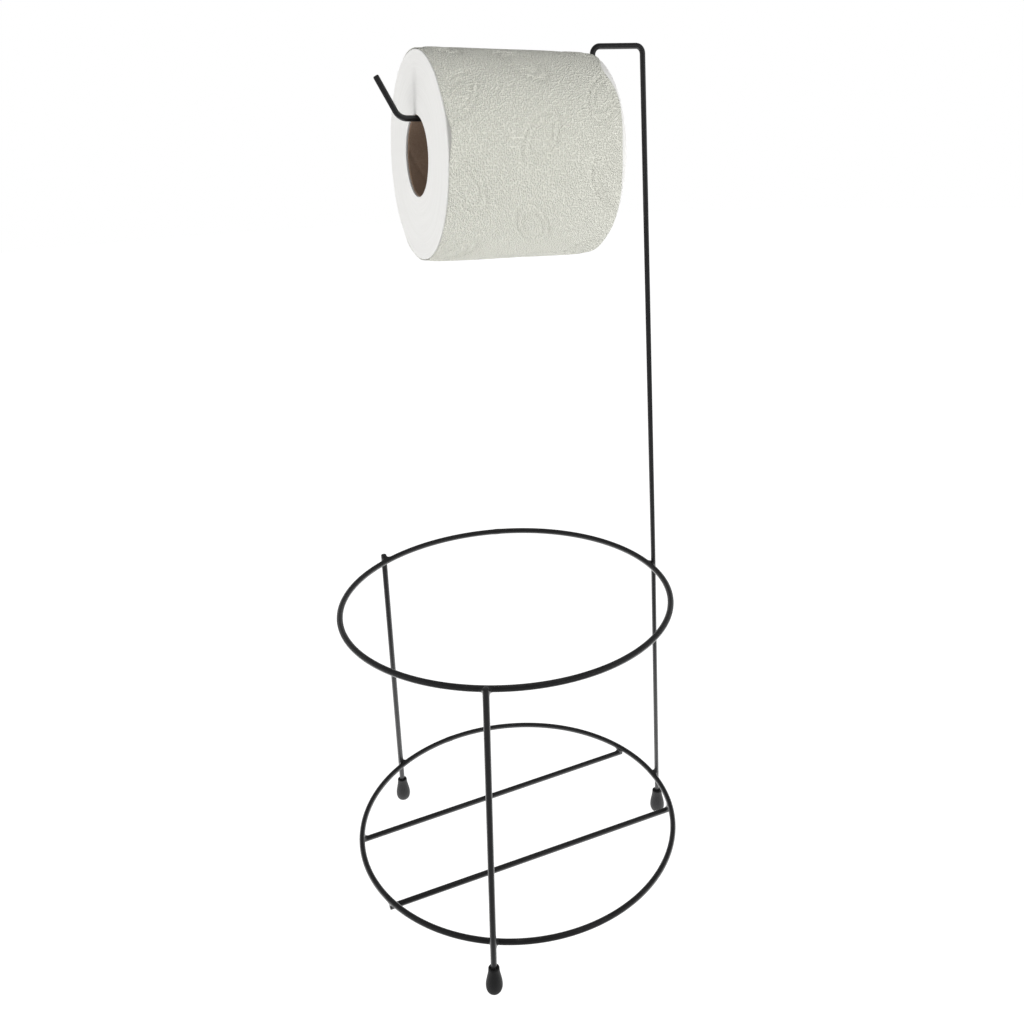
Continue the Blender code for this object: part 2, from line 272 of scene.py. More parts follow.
# A skin's fine relief: a pebbled height, and a slow tone that lets gloss drift along the piece.
skin_grain, grain_in, grain_out = start_group(
    "skin_grain", {"Grain Size": 0.001, "Drift Size": 0.03, "Sharpness": 0.5}, ["Height", "Drift"]
)
grain_place = put(skin_grain, "ShaderNodeTexCoord").outputs["Object"]
pebbles = put(
    skin_grain,
    "ShaderNodeTexNoise",
    {
        "Vector": grain_place,
        "Scale": per_metre(skin_grain, grain_in["Grain Size"]),
        "Detail": 2.0,
        "Roughness": grain_in["Sharpness"],
    },
)
drift = put(
    skin_grain,
    "ShaderNodeTexNoise",
    {"Vector": grain_place, "Scale": per_metre(skin_grain, grain_in["Drift Size"]), "Detail": 3.0},
)
skin_grain.links.new(pebbles.outputs[0], grain_out["Height"])
skin_grain.links.new(drift.outputs[0], grain_out["Drift"])

# Dust that has settled on whatever faces up, in soft patches.
settled_dust, dust_in, dust_out = start_group(
    "settled_dust", {"Amount": 0.5, "Patch Size": 0.012}, ["Mask"]
)
facing = put(
    settled_dust,
    "ShaderNodeSeparateXYZ",
    {0: put(settled_dust, "ShaderNodeNewGeometry").outputs["Normal"]},
)
level = put(
    settled_dust,
    "ShaderNodeMapRange",
    {"Value": facing.outputs["Z"], 1: DUST_SLOPES[0], 2: DUST_SLOPES[1]},
    interpolation_type="SMOOTHSTEP",
)
patches = put(
    settled_dust,
    "ShaderNodeTexNoise",
    {
        "Vector": put(settled_dust, "ShaderNodeTexCoord").outputs["Object"],
        "Scale": per_metre(settled_dust, dust_in["Patch Size"]),
        "Detail": 5.0,
        "Roughness": 0.65,
    },
)
thick = put(
    settled_dust,
    "ShaderNodeMapRange",
    {"Value": patches.outputs[0], 1: DUST_PATCHES[0], 2: DUST_PATCHES[1]},
)
lying = put(settled_dust, "ShaderNodeMath", {0: level.outputs[0], 1: thick.outputs[0]}, operation="MULTIPLY")
dust = put(settled_dust, "ShaderNodeMath", {0: lying.outputs[0], 1: dust_in["Amount"]}, operation="MULTIPLY")
settled_dust.links.new(dust.outputs[0], dust_out["Mask"])

# Rubbed places: where a piece's own edges stand proud, broken up by small scuffs.
edge_rub, rub_in, rub_out = start_group("edge_rub", {"Amount": 0.5, "Scuff Size": 0.002}, ["Mask"])
pointiness = put(edge_rub, "ShaderNodeNewGeometry").outputs["Pointiness"]
proud = put(
    edge_rub, "ShaderNodeMapRange", {"Value": pointiness, 1: PROUD_EDGES[0], 2: PROUD_EDGES[1]}
)
scuffs = put(
    edge_rub,
    "ShaderNodeTexNoise",
    {
        "Vector": put(edge_rub, "ShaderNodeTexCoord").outputs["Object"],
        "Scale": per_metre(edge_rub, rub_in["Scuff Size"]),
        "Detail": 4.0,
    },
)
worn = put(edge_rub, "ShaderNodeMath", {0: proud.outputs[0], 1: scuffs.outputs[0]}, operation="MULTIPLY")
rubbed = put(edge_rub, "ShaderNodeMath", {0: worn.outputs[0], 1: rub_in["Amount"]}, operation="MULTIPLY")
edge_rub.links.new(rubbed.outputs[0], rub_out["Mask"])


def between(tree, mask, low, high):
    """A number that goes from low to high as the mask goes from 0 to 1."""
    return put(tree, "ShaderNodeMapRange", {"Value": mask, 3: low, 4: high}).outputs[0]


def blend_colour(tree, mask, first, second):
    """A colour that goes from the first to the second as the mask goes from 0 to 1."""
    mix = put(tree, "ShaderNodeMix", {0: mask}, data_type="RGBA")
    for slot, colour in ((6, first), (7, second)):
        if isinstance(colour, bpy.types.NodeSocket):
            tree.links.new(colour, mix.inputs[slot])
        else:
            mix.inputs[slot].default_value = colour
    return mix.outputs[2]


def raised(tree, height, distance, over=None):
    """The surface's normal with this height on it, on top of another normal if one is given."""
    sockets = {"Height": height, "Distance": distance, "Strength": 1.0}
    if over is not None:
        sockets["Normal"] = over
    return put(tree, "ShaderNodeBump", sockets).outputs[0]


def new_finish(name):
    """A new material, its node tree and its Principled shader."""
    material = bpy.data.materials.new(name)
    material.use_nodes = True
    return material, material.node_tree, material.node_tree.nodes["Principled BSDF"]


# Satin black powder coat: a faint orange peel, drifting gloss, a little dust and rubbed edges.
powder_coat, tree, shader = new_finish("powder_coat")
grain = add_group(tree, skin_grain, Grain_Size=0.0011, Drift_Size=0.022, Sharpness=0.45)
dusty = add_group(tree, settled_dust, Amount=0.30, Patch_Size=0.010)
worn_edge = add_group(tree, edge_rub, Amount=COAT_WORN, Scuff_Size=0.0016)
pale = put(tree, "ShaderNodeMath", {0: dusty["Mask"], 1: worn_edge["Mask"]}, operation="MAXIMUM")
tree.links.new(blend_colour(tree, pale.outputs[0], COAT_COLOUR, COAT_DUSTY), shader.inputs["Base Color"])
tree.links.new(between(tree, grain["Drift"], *COAT_ROUGHNESS), shader.inputs["Roughness"])
tree.links.new(raised(tree, grain["Height"], COAT_PEEL), shader.inputs["Normal"])
shader.inputs["Specular IOR Level"].default_value = COAT_SHINE


def wire(name, path, thickness, closed=False, swell=None):
    """A round coated wire along the path that stands for the CAD wire of the same name."""
    curve = bpy.data.curves.new(name, "CURVE")
    curve.dimensions = "3D"
    curve.bevel_depth = thickness
    curve.bevel_resolution = WIRE_BEVEL_RESOLUTION
    curve.use_fill_caps = not closed
    spline = curve.splines.new("POLY")
    spline.points.add(len(path) - 1)
    for number, place in enumerate(path):
        spline.points[number].co = (*place, 1.0)
        spline.points[number].radius = swell[number] if swell else 1.0
    spline.use_cyclic_u = closed
    spline.use_smooth = True
    curve.materials.append(powder_coat)
    piece = bpy.data.objects.new(f"coated_{name}", curve)
    bpy.context.scene.collection.objects.link(piece)
    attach(piece, "stand")
    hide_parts(name)


def ring_lift(name, angle):
    """How far above its own middle plane a ring's wire stands at this angle round it."""
    return -RING_OUT_OF_FLAT[name] * math.cos(2 * (angle - math.radians(RING_LOW_ANGLE)))


rings = {}
for name in ("upper_ring", "lower_ring"):
    low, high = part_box(name)
    middle = (low + high) / 2
    radius = (high.x - low.x) / 2 - BASKET_WIRE_RADIUS
    rings[name] = (middle, radius)
    path = []
    swell = []
    for step in range(RING_STEPS):
        angle = math.tau * step / RING_STEPS
        out = radius + RING_OUT_OF_ROUND * math.sin(RING_LOBES * angle + RING_LOBE_TURN * radius)
        path.append(middle + Vector((out * math.cos(angle), out * math.sin(angle), ring_lift(name, angle))))
        from_joint = (math.degrees(angle) - BUTT_WELD_ANGLES[name]) / BUTT_WELD_WIDTH
        swell.append(1 + BUTT_WELD_SWELL * math.exp(-(from_joint**2)))
    wire(name, path, BASKET_WIRE_RADIUS, closed=True, swell=swell)


# ---- The legs and crossbars ----------------------------------------------------------------------------
# Straight lengths of the same wire, cropped to length. The two legs stand outside the rings, and the two
# crossbars lie under the lower ring. The coating has rounded their cut ends.

END_ROUNDING = 0.00070
END_STEPS = 4


def mean_place(places):
    """The middle of some places."""
    return sum(places, Vector()) / len(places)


def wire_ends(node, axis):
    """The middles of the two cut ends of a straight CAD wire, lowest first along the axis."""
    places = [vertex.co.copy() for vertex in frame["nodes"][node].data.vertices]
    half_way = mean_place(places)[axis]
    return (
        mean_place([place for place in places if place[axis] < half_way]),
        mean_place([place for place in places if place[axis] > half_way]),
    )


def with_round_ends(path, thickness):
    """The path, and the wire's width along it, with both cut ends rounded over."""
    first_way = (path[0] - path[1]).normalized()
    last_way = (path[-1] - path[-2]).normalized()
    start = []
    end = []
    for step in range(END_STEPS + 1):
        angle = math.pi / 2 * step / END_STEPS
        back = END_ROUNDING * (1 - math.sin(angle))
        width = 1 - END_ROUNDING / thickness * (1 - math.cos(angle))
        start.append((path[0] - first_way * back, width))
        end.append((path[-1] - last_way * back, width))
    places = start[::-1] + [(place, 1.0) for place in path[1:-1]] + end
    return [place for place, width in places], [width for place, width in places]


straight_wires = {"left_leg": 2, "front_leg": 2, "rear_crossbar": 0, "front_crossbar": 0}
lines = {}
for name, axis in straight_wires.items():
    lines[name] = wire_ends(name, axis)
    path, widths = with_round_ends(list(lines[name]), BASKET_WIRE_RADIUS)
    wire(name, path, BASKET_WIRE_RADIUS, swell=widths)


# ---- The post and arm ----------------------------------------------------------------------------------
# The third leg is one long, thinner wire: up as the post, over, down, out along the arm that the roll
# hangs on, and up again at the tip that keeps the roll from sliding off. It is bent before it is coated.

CREST_BAND = 0.00001
SHORTEST_RUN = 0.008
BEND_STEP = 5.0


def bent_middle(node):
    """The middle of a CAD wire that lies in the plane Y = 0, from its tip to its foot."""
    skin = [vertex.co for vertex in frame["nodes"][node].data.vertices]
    crest = max(place.y for place in skin) - CREST_BAND
    left = {(round(place.x, 6), round(place.z, 6)) for place in skin if place.y > crest}
    path = [min(left)]
    while len(left) > len(path):
        path.append(min(left - set(path), key=lambda place: math.dist(place, path[-1])))
    return [Vector((x, 0, z)) for x, z in path]


def bend_corners(middle):
    """The corners that a bent wire's straight runs point at, with its two ends, and each bend's radius."""
    runs = [pair for pair in zip(middle, middle[1:]) if (pair[1] - pair[0]).length > SHORTEST_RUN]
    corners = [runs[0][0]]
    radii = []
    for before, after in zip(runs, runs[1:]):
        corner = geometry.intersect_line_line(*before, *after)[0]
        turn = (before[1] - before[0]).angle(after[1] - after[0])
        corners.append(corner)
        radii.append((corner - before[1]).length / math.tan(turn / 2))
    return corners + [runs[-1][1]], radii


def bent_path(corners, radii):
    """The corners joined by straight runs, with a smooth bend at each inner corner."""
    path = [corners[0]]
    for before, corner, after, radius in zip(corners, corners[1:], corners[2:], radii):
        come = (corner - before).normalized()
        leave = (after - corner).normalized()
        turn = come.angle(leave)
        start = corner - come * radius * math.tan(turn / 2)
        side = (leave - come * come.dot(leave)).normalized()
        steps = max(2, round(math.degrees(turn) / BEND_STEP))
        for step in range(steps + 1):
            angle = turn * step / steps
            path.append(start + come * radius * math.sin(angle) + side * radius * (1 - math.cos(angle)))
    return path + [corners[-1]]


post_low, post_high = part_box("post_and_arm")
POST_WIRE_RADIUS = (post_high.y - post_low.y) / 2
hook_corners, hook_radii = bend_corners(bent_middle("post_and_arm"))
path, widths = with_round_ends(bent_path(hook_corners, hook_radii), POST_WIRE_RADIUS)
wire("post_and_arm", path, POST_WIRE_RADIUS, swell=widths)
lines["post"] = (hook_corners[-1], hook_corners[-2])
thicknesses = {"left_leg": BASKET_WIRE_RADIUS, "front_leg": BASKET_WIRE_RADIUS, "post": POST_WIRE_RADIUS}


# ---- The weld beads ------------------------------------------------------------------------------------
# Where two wires cross they are spot-welded. The metal has run into the corners between them and set as
# small rounded webs, and the powder coat softens them further.

WELD_FLOW = 0.0040
WELD_SINK = 0.00014
WELD_REACH = 0.0062
WELD_STEPS = 62
WELD_ROUNDNESS = 5
WELD_RIPPLE = 0.10
WELD_RIPPLE_SIZE = 0.0016
WELD_RIPPLE_REACH = 0.003
WELD_HALVINGS = 8


def weld_bead(name, ring, low, way, length, thickness, crossing):
    """The web between a ring and the straight wire that crosses it, given by its low end and its way."""
    ring_middle, ring_radius = rings[ring]
    out = Vector(((crossing - ring_middle).x, (crossing - ring_middle).y, 0)).normalized()
    ring_middle = ring_middle + Vector((0, 0, ring_lift(ring, math.atan2(out.y, out.x))))
    middle = np.array((ring_middle + out * ring_radius + crossing) / 2)
    shape = bmesh.new()
    bmesh.ops.create_icosphere(shape, subdivisions=WELD_ROUNDNESS, radius=1.0)
    outwards = np.array([vertex.co.normalized() for vertex in shape.verts])
    ripple = [
        noise.noise((crossing + vertex.co * WELD_RIPPLE_REACH) / WELD_RIPPLE_SIZE) for vertex in shape.verts
    ]
    flow = WELD_FLOW * (1 + WELD_RIPPLE * np.array(ripple))

    def depth_outside(reach):
        """How far outside the melted-together wires each point at this reach is."""
        places = middle + outwards * reach[:, None]
        from_ring = places - np.array(ring_middle)
        from_circle = np.hypot(from_ring[:, 0], from_ring[:, 1]) - ring_radius
        from_ring_wire = np.hypot(from_circle, from_ring[:, 2])
        from_low = places - np.array(low)
        along = np.clip(from_low @ np.array(way), thickness, length - thickness)
        from_wire = np.linalg.norm(from_low - along[:, None] * np.array(way), axis=1)
        gaps = (from_ring_wire - BASKET_WIRE_RADIUS + WELD_SINK, from_wire - thickness + WELD_SINK)
        shared = np.clip(1 - np.abs(gaps[0] - gaps[1]) / flow, 0, 1)
        return np.minimum(*gaps) - shared**2 * flow / 4

    inner = np.zeros(len(outwards))
    growing = np.ones(len(outwards), bool)
    for step in range(1, WELD_STEPS + 1):
        reach = np.full(len(outwards), WELD_REACH * step / WELD_STEPS)
        growing &= depth_outside(reach) < 0
        inner[growing] = reach[growing]
    outer = np.minimum(inner + WELD_REACH / WELD_STEPS, WELD_REACH)
    for _ in range(WELD_HALVINGS):
        half = (inner + outer) / 2
        solid = depth_outside(half) < 0
        inner = np.where(solid, half, inner)
        outer = np.where(solid, outer, half)
    for vertex, place in zip(shape.verts, middle + outwards * inner[:, None]):
        vertex.co = place
    mesh = bpy.data.meshes.new(name)
    shape.to_mesh(mesh)
    shape.free()
    mesh.shade_smooth()
    mesh.materials.append(powder_coat)
    piece = bpy.data.objects.new(name.replace("weld", "bead"), mesh)
    bpy.context.scene.collection.objects.link(piece)
    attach(piece, "stand")
    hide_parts(name)


for leg, line in (("left", "left_leg"), ("front", "front_leg"), ("post", "post")):
    low, high = lines[line]
    way = (high - low).normalized()
    for level in ("upper", "lower"):
        ring = f"{level}_ring"
        crossing = low + way * (rings[ring][0].z - low.z) / way.z
        weld_bead(f"weld_{leg}_{level}", ring, low, way, (high - low).length, thicknesses[line], crossing)

for bar in ("rear_crossbar", "front_crossbar"):
    ring_middle, ring_radius = rings["lower_ring"]
    low, high = lines[bar]
    way = (high - low).normalized()
    nearest = low + way * (ring_middle - low).dot(way)
    sideways = Vector(((nearest - ring_middle).x, (nearest - ring_middle).y, 0))
    half_chord = math.sqrt(ring_radius**2 - sideways.length_squared)
    for end, sign in (("left", -1), ("right", 1)):
        crossing = nearest + way * half_chord * sign
        name = f"weld_{bar}_{end}"
        weld_bead(name, "lower_ring", low, way, (high - low).length, BASKET_WIRE_RADIUS, crossing)


# ---- The rubber feet -----------------------------------------------------------------------------------
# Three moulded black rubber feet, teardrops with a blind bore and a blunt rounded rim, pushed on to the
# wires' ends. They are duller than the wire, and scuffed pale where they meet the floor.

FOOT_SIDES = 64
FOOT_FLAT_RADIUS = 0.0024
FOOT_BELLY_HEIGHT = 0.0055
FOOT_RIM_RADIUS = 0.0036
FOOT_RIM_ROUND = 0.0007
FOOT_MOUTH_CLEARANCE = 0.00032
FOOT_MOUTH_DEPTH = 0.0010
FOOT_MOUTH_TAPER = 1.3
FOOT_LIP = 0.0001
FOOT_GRIP = 0.0002
FOOT_CURVE_STEPS = 14
RUBBER_COLOUR = (0.0105, 0.0105, 0.011, 1)
RUBBER_SCUFFED = (0.075, 0.073, 0.07, 1)
RUBBER_ROUGHNESS = (0.50, 0.66)
RUBBER_RELIEF = 0.00006
RUBBER_SHINE = 0.35
FLOOR_SCUFF_HEIGHT = 0.0022
FLOOR_SCUFF_SHARE = 0.6


def loft(name, rows, finish, tube=False, smooth_angle=40):
    """A mesh of closed rows of points, each joined to the next: a tube, or closed by a face at each end."""
    count, sides = rows.shape[:2]
    number = np.arange(count * sides).reshape(count, sides)
    if tube:
        number = np.vstack([number, number[:1]])
    ahead = np.roll(number, -1, axis=1)
    quads = np.stack([number[:-1], ahead[:-1], ahead[1:], number[1:]], axis=-1).reshape(-1, 4)
    faces = quads.tolist()
    if not tube:
        faces += [number[0][::-1].tolist(), number[-1].tolist()]
    mesh = bpy.data.meshes.new(name)
    mesh.from_pydata(rows.reshape(-1, 3).tolist(), [], faces)
    mesh.shade_smooth()
    mesh.set_sharp_from_angle(angle=math.radians(smooth_angle))
    mesh.materials.append(finish)
    piece = bpy.data.objects.new(name, mesh)
    bpy.context.scene.collection.objects.link(piece)
    return piece


def turned_rows(outline, sides):
    """Rows of points round Z, one for each (radius, height) of the outline."""
    angles = np.arange(sides) * math.tau / sides
    rows = np.empty((len(outline), sides, 3))
    for row, (radius, height) in zip(rows, outline):
        row[:, 0] = radius * np.cos(angles)
        row[:, 1] = radius * np.sin(angles)
        row[:, 2] = height
    return rows


rubber, tree, shader = new_finish("foot_rubber")
grain = add_group(tree, skin_grain, Grain_Size=0.0006, Drift_Size=0.006, Sharpness=0.6)
dusty = add_group(tree, settled_dust, Amount=0.35, Patch_Size=0.004)
worn_edge = add_group(tree, edge_rub, Amount=0.6, Scuff_Size=0.0012)
height = put(tree, "ShaderNodeSeparateXYZ", {0: put(tree, "ShaderNodeTexCoord").outputs["Object"]})
near_floor = put(
    tree,
    "ShaderNodeMapRange",
    {"Value": height.outputs["Z"], 1: FLOOR_SCUFF_HEIGHT, 2: 0.0, 4: FLOOR_SCUFF_SHARE},
)
scuffed = put(tree, "ShaderNodeMath", {0: near_floor.outputs[0], 1: grain["Drift"]}, operation="MULTIPLY")
pale = put(tree, "ShaderNodeMath", {0: dusty["Mask"], 1: worn_edge["Mask"]}, operation="MAXIMUM")
pale = put(tree, "ShaderNodeMath", {0: pale.outputs[0], 1: scuffed.outputs[0]}, operation="MAXIMUM")
rubber_tone = blend_colour(tree, pale.outputs[0], RUBBER_COLOUR, RUBBER_SCUFFED)
tree.links.new(rubber_tone, shader.inputs["Base Color"])
tree.links.new(between(tree, grain["Drift"], *RUBBER_ROUGHNESS), shader.inputs["Roughness"])
tree.links.new(raised(tree, grain["Height"], RUBBER_RELIEF), shader.inputs["Normal"])
shader.inputs["Specular IOR Level"].default_value = RUBBER_SHINE

for leg, line in (("left", "left_leg"), ("front", "front_leg"), ("post", "post")):
    low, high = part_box(f"{leg}_foot")
    end, top = lines[line]
    slope = (top - end) / (top.z - end.z)
    ground = end - slope * end.z
    belly = min(high.x - low.x, high.y - low.y) / 2
    outline = []
    for step in range(FOOT_CURVE_STEPS + 1):
        angle = math.pi / 2 * step / FOOT_CURVE_STEPS
        radius = FOOT_FLAT_RADIUS + (belly - FOOT_FLAT_RADIUS) * math.sin(angle)
        outline.append((radius, FOOT_BELLY_HEIGHT * (1 - math.cos(angle))))
    neck_height = high.z - FOOT_RIM_ROUND
    for step in range(1, FOOT_CURVE_STEPS + 1):
        share = step / FOOT_CURVE_STEPS
        fullness = (1 + math.cos(math.pi * share)) / 2
        radius = FOOT_RIM_RADIUS + (belly - FOOT_RIM_RADIUS) * fullness
        outline.append((radius, FOOT_BELLY_HEIGHT + (neck_height - FOOT_BELLY_HEIGHT) * share))
    for step in range(1, FOOT_CURVE_STEPS + 1):
        angle = math.pi / 2 * step / FOOT_CURVE_STEPS
        radius = FOOT_RIM_RADIUS - FOOT_RIM_ROUND * (1 - math.cos(angle))
        outline.append((radius, neck_height + FOOT_RIM_ROUND * math.sin(angle)))
    thickness = thicknesses[line]
    outline.append((thickness + FOOT_MOUTH_CLEARANCE, high.z - FOOT_LIP))
    outline.append((thickness + FOOT_MOUTH_CLEARANCE, high.z - FOOT_MOUTH_DEPTH))
    outline.append((thickness + FOOT_GRIP, high.z - FOOT_MOUTH_TAPER * FOOT_MOUTH_DEPTH))
    outline.append((thickness + FOOT_GRIP, end.z - FOOT_GRIP))
    rows = turned_rows(outline, FOOT_SIDES)
    rows[..., 0] += ground.x + slope.x * rows[..., 2]
    rows[..., 1] += ground.y + slope.y * rows[..., 2]
    foot = loft(f"rubber_{leg}_foot", rows, rubber)
    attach(foot, "stand")
    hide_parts(f"{leg}_foot")


# ---- The cardboard core --------------------------------------------------------------------------------
# A tube of grey-brown board, wound on the slant from two strips, so that a shallow seam spirals along it.
# Its sawn ends are fuzzy. It hangs on the arm by the top of its bore, and turns there.

spin = next(joint for joint in frame["joints"] if joint["name"] == "roll_spin")
roll_way = Vector(spin["axis"]).normalized()
roll_side = Vector((0, -1, 0))
roll_up = roll_way.cross(roll_side).normalized()
roll_turn = Matrix((roll_up, roll_side, roll_way)).transposed().to_4x4()
roll_frame = Matrix.Translation(spin["pos_m"]) @ roll_turn


def round_sizes(node):
    """The inner radius, outer radius and length of a CAD tube on the roll's axis."""
    to_roll = roll_frame.inverted()
    places = np.array([to_roll @ vertex.co for vertex in frame["nodes"][node].data.vertices])
    radii = np.hypot(places[:, 0], places[:, 1])
    return radii.min(), radii.max(), np.ptp(places[:, 2])


CORE_BORE, CORE_OUTSIDE, CORE_LENGTH = round_sizes("roll_core")
CORE_SET_BACK = 0.0012
CORE_SIDES = 160
CORE_ROWS = 110
CORE_EDGE_ROUND = 0.0003
SEAM_PITCH = 0.062
SEAM_WIDTH = 0.0011
SEAM_DEPTH = 0.00022
CORE_CRUSH = 0.0003
CRUSH_LUMPS = 1.6
CRUSH_LUMPS_ALONG = 30.0
CARD_COLOUR = (0.31, 0.215, 0.155, 1)
CARD_CLOUDED = (*(0.82 * part for part in CARD_COLOUR[:3]), 1)
CARD_PALE = (0.44, 0.33, 0.255, 1)
CARD_FLECKS = (0.45, 0.75)
CARD_FLECK_SHARE = 0.5
CARD_ROUGHNESS = (0.78, 0.95)
CARD_RELIEF = 0.00012
CARD_SHINE = 0.25
FIBRE_WAYS = ((1.0, 1.0, 0.16), (0.16, 1.0, 1.0), (1.0, 0.16, 1.0))

# Fibres that lie every way in paper and board: a matted height and a cloudy tone.
matted_fibre, fibre_in, fibre_out = start_group(
    "matted_fibre", {"Fibre Width": 0.0003, "Cloud Size": 0.01}, ["Height", "Cloud"]
)
fibre_place = put(matted_fibre, "ShaderNodeTexCoord").outputs["Object"]
fibre_layers = []
for stretch in FIBRE_WAYS:
    stretched = put(
        matted_fibre, "ShaderNodeVectorMath", {0: fibre_place, 1: stretch}, operation="MULTIPLY"
    )
    layer = put(
        matted_fibre,
        "ShaderNodeTexNoise",
        {
            "Vector": stretched.outputs[0],
            "Scale": per_metre(matted_fibre, fibre_in["Fibre Width"]),
            "Detail": 1.0,
        },
    )
    fibre_layers.append(layer.outputs[0])
crossed = fibre_layers[0]
for layer in fibre_layers[1:]:
    crossed = put(matted_fibre, "ShaderNodeMath", {0: crossed, 1: layer}, operation="MAXIMUM").outputs[0]
cloud = put(
    matted_fibre,
    "ShaderNodeTexNoise",
    {"Vector": fibre_place, "Scale": per_metre(matted_fibre, fibre_in["Cloud Size"]), "Detail": 4.0},
)
matted_fibre.links.new(crossed, fibre_out["Height"])
matted_fibre.links.new(cloud.outputs[0], fibre_out["Cloud"])

card, tree, shader = new_finish("core_card")
fibre = add_group(tree, matted_fibre, Fibre_Width=0.00035, Cloud_Size=0.009)
worn_edge = add_group(tree, edge_rub, Amount=0.8, Scuff_Size=0.0015)
flecks = put(
    tree,
    "ShaderNodeMapRange",
    {"Value": fibre["Height"], 1: CARD_FLECKS[0], 2: CARD_FLECKS[1], 4: CARD_FLECK_SHARE},
)
pale = put(tree, "ShaderNodeMath", {0: flecks.outputs[0], 1: worn_edge["Mask"]}, operation="MAXIMUM")
clouded = blend_colour(tree, fibre["Cloud"], CARD_CLOUDED, CARD_COLOUR)
tree.links.new(blend_colour(tree, pale.outputs[0], clouded, CARD_PALE), shader.inputs["Base Color"])
tree.links.new(between(tree, fibre["Cloud"], *CARD_ROUGHNESS), shader.inputs["Roughness"])
tree.links.new(raised(tree, fibre["Height"], CARD_RELIEF), shader.inputs["Normal"])
shader.inputs["Specular IOR Level"].default_value = CARD_SHINE


def seam(angle, along):
    """How deep the spiral seam is cut at this place on the tube."""
    turns = along / SEAM_PITCH - angle / math.tau
    off = (turns - round(turns)) * SEAM_PITCH
    return SEAM_DEPTH * math.exp(-((off / SEAM_WIDTH) ** 2))


half = CORE_LENGTH / 2 - CORE_SET_BACK
straight = half - CORE_EDGE_ROUND
outline = []
for step in range(CORE_ROWS + 1):
    outline.append((CORE_OUTSIDE, straight * (2 * step / CORE_ROWS - 1)))
outline += [(CORE_OUTSIDE - CORE_EDGE_ROUND, half), (CORE_BORE + CORE_EDGE_ROUND, half)]
for step in range(CORE_ROWS + 1):
    outline.append((CORE_BORE, straight * (1 - 2 * step / CORE_ROWS)))
outline += [(CORE_BORE + CORE_EDGE_ROUND, -half), (CORE_OUTSIDE - CORE_EDGE_ROUND, -half)]
rows = turned_rows(outline, CORE_SIDES)
for row, (radius, along) in zip(rows, outline):
    for place in row:
        angle = math.atan2(place[1], place[0])
        inside = radius < (CORE_BORE + CORE_OUTSIDE) / 2
        lump = Vector((math.cos(angle), math.sin(angle), along * CRUSH_LUMPS_ALONG)) * CRUSH_LUMPS
        dent = CORE_CRUSH * noise.noise(lump)
        groove = seam(angle, along) * (1 if inside else -1)
        place[:2] *= 1 + (groove - abs(dent)) / radius
core = loft("card_core", rows, card, tube=True)
core.matrix_world = roll_frame
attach(core, "roll")
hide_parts("roll_core")


# ---- The wound paper -----------------------------------------------------------------------------------
# Some hundred turns of two-ply tissue, wound on the core and sawn to length, so the two ends show the
# edges of the turns as fine uneven rings. Its outermost turn is the piece that follows.

_, PAPER_OUTSIDE, PAPER_LENGTH = round_sizes("paper_roll")
PAPER_SAG = 0.0008
FACE_OPENING = CORE_BORE + 0.0002
FACE_LIP = 0.0009
FACE_LAP = 0.0001
WOUND_RADIUS = PAPER_OUTSIDE - 0.00150
WOUND_SIDES = 512
FACE_ROWS = 60
FACE_DISH = 0.0003
FACE_WAVE = 0.00012
FACE_WAVE_PITCH = 0.00625
FACE_WAVE_LUMPS = 1.3
FACE_WAVE_SEED = 7
FACE_RIDGE = 0.00005
RIDGE_PITCH = 0.0008
RIDGE_LUMPS = 0.6
RIDGE_SEED = 31
EDGE_ROUND = 0.0006
EDGE_STEPS = 4
END_COLOUR = (0.91, 0.905, 0.885, 1)
END_SHADED = (0.84, 0.835, 0.81, 1)
END_SHADES = (0.62, 0.30)
END_SHADE_SHARE = 0.75
TURN_EDGES_PER_METRE = 2600.0
TURN_EDGE_RELIEF = 0.00010
SAWN_FIBRE_RELIEF = 0.00008
PAPER_ROUGHNESS = (0.85, 1.0)
PAPER_SHINE = 0.15
PAPER_SHEEN = 0.15

wound_ends, tree, shader = new_finish("sawn_tissue_ends")
fibre = add_group(tree, matted_fibre, Fibre_Width=0.00022, Cloud_Size=0.02)
across = put(
    tree,
    "ShaderNodeVectorMath",
    {0: put(tree, "ShaderNodeTexCoord").outputs["Object"], 1: (1, 1, 0)},
    operation="MULTIPLY",
)
from_axis = put(tree, "ShaderNodeVectorMath", {0: across.outputs[0]}, operation="LENGTH")
round_way = put(tree, "ShaderNodeVectorMath", {0: across.outputs[0]}, operation="NORMALIZE")
slow_round = put(tree, "ShaderNodeSeparateXYZ", {0: round_way.outputs[0]})
turn_count = put(
    tree, "ShaderNodeMath", {0: from_axis.outputs["Value"], 1: TURN_EDGES_PER_METRE}, operation="MULTIPLY"
)
ring_place = put(
    tree,
    "ShaderNodeCombineXYZ",
    {0: turn_count.outputs[0], 1: slow_round.outputs[0], 2: slow_round.outputs[1]},
)
turn_edges = put(tree, "ShaderNodeTexNoise", {"Vector": ring_place.outputs[0], "Scale": 1.0, "Detail": 3.0})
shade = put(
    tree,
    "ShaderNodeMapRange",
    {"Value": turn_edges.outputs[0], 1: END_SHADES[0], 2: END_SHADES[1], 4: END_SHADE_SHARE},
)
tree.links.new(blend_colour(tree, shade.outputs[0], END_COLOUR, END_SHADED), shader.inputs["Base Color"])
tree.links.new(between(tree, fibre["Cloud"], *PAPER_ROUGHNESS), shader.inputs["Roughness"])
ringed = raised(tree, turn_edges.outputs[0], TURN_EDGE_RELIEF)
tree.links.new(raised(tree, fibre["Height"], SAWN_FIBRE_RELIEF, over=ringed), shader.inputs["Normal"])
shader.inputs["Specular IOR Level"].default_value = PAPER_SHINE
shader.inputs["Sheen Weight"].default_value = PAPER_SHEEN


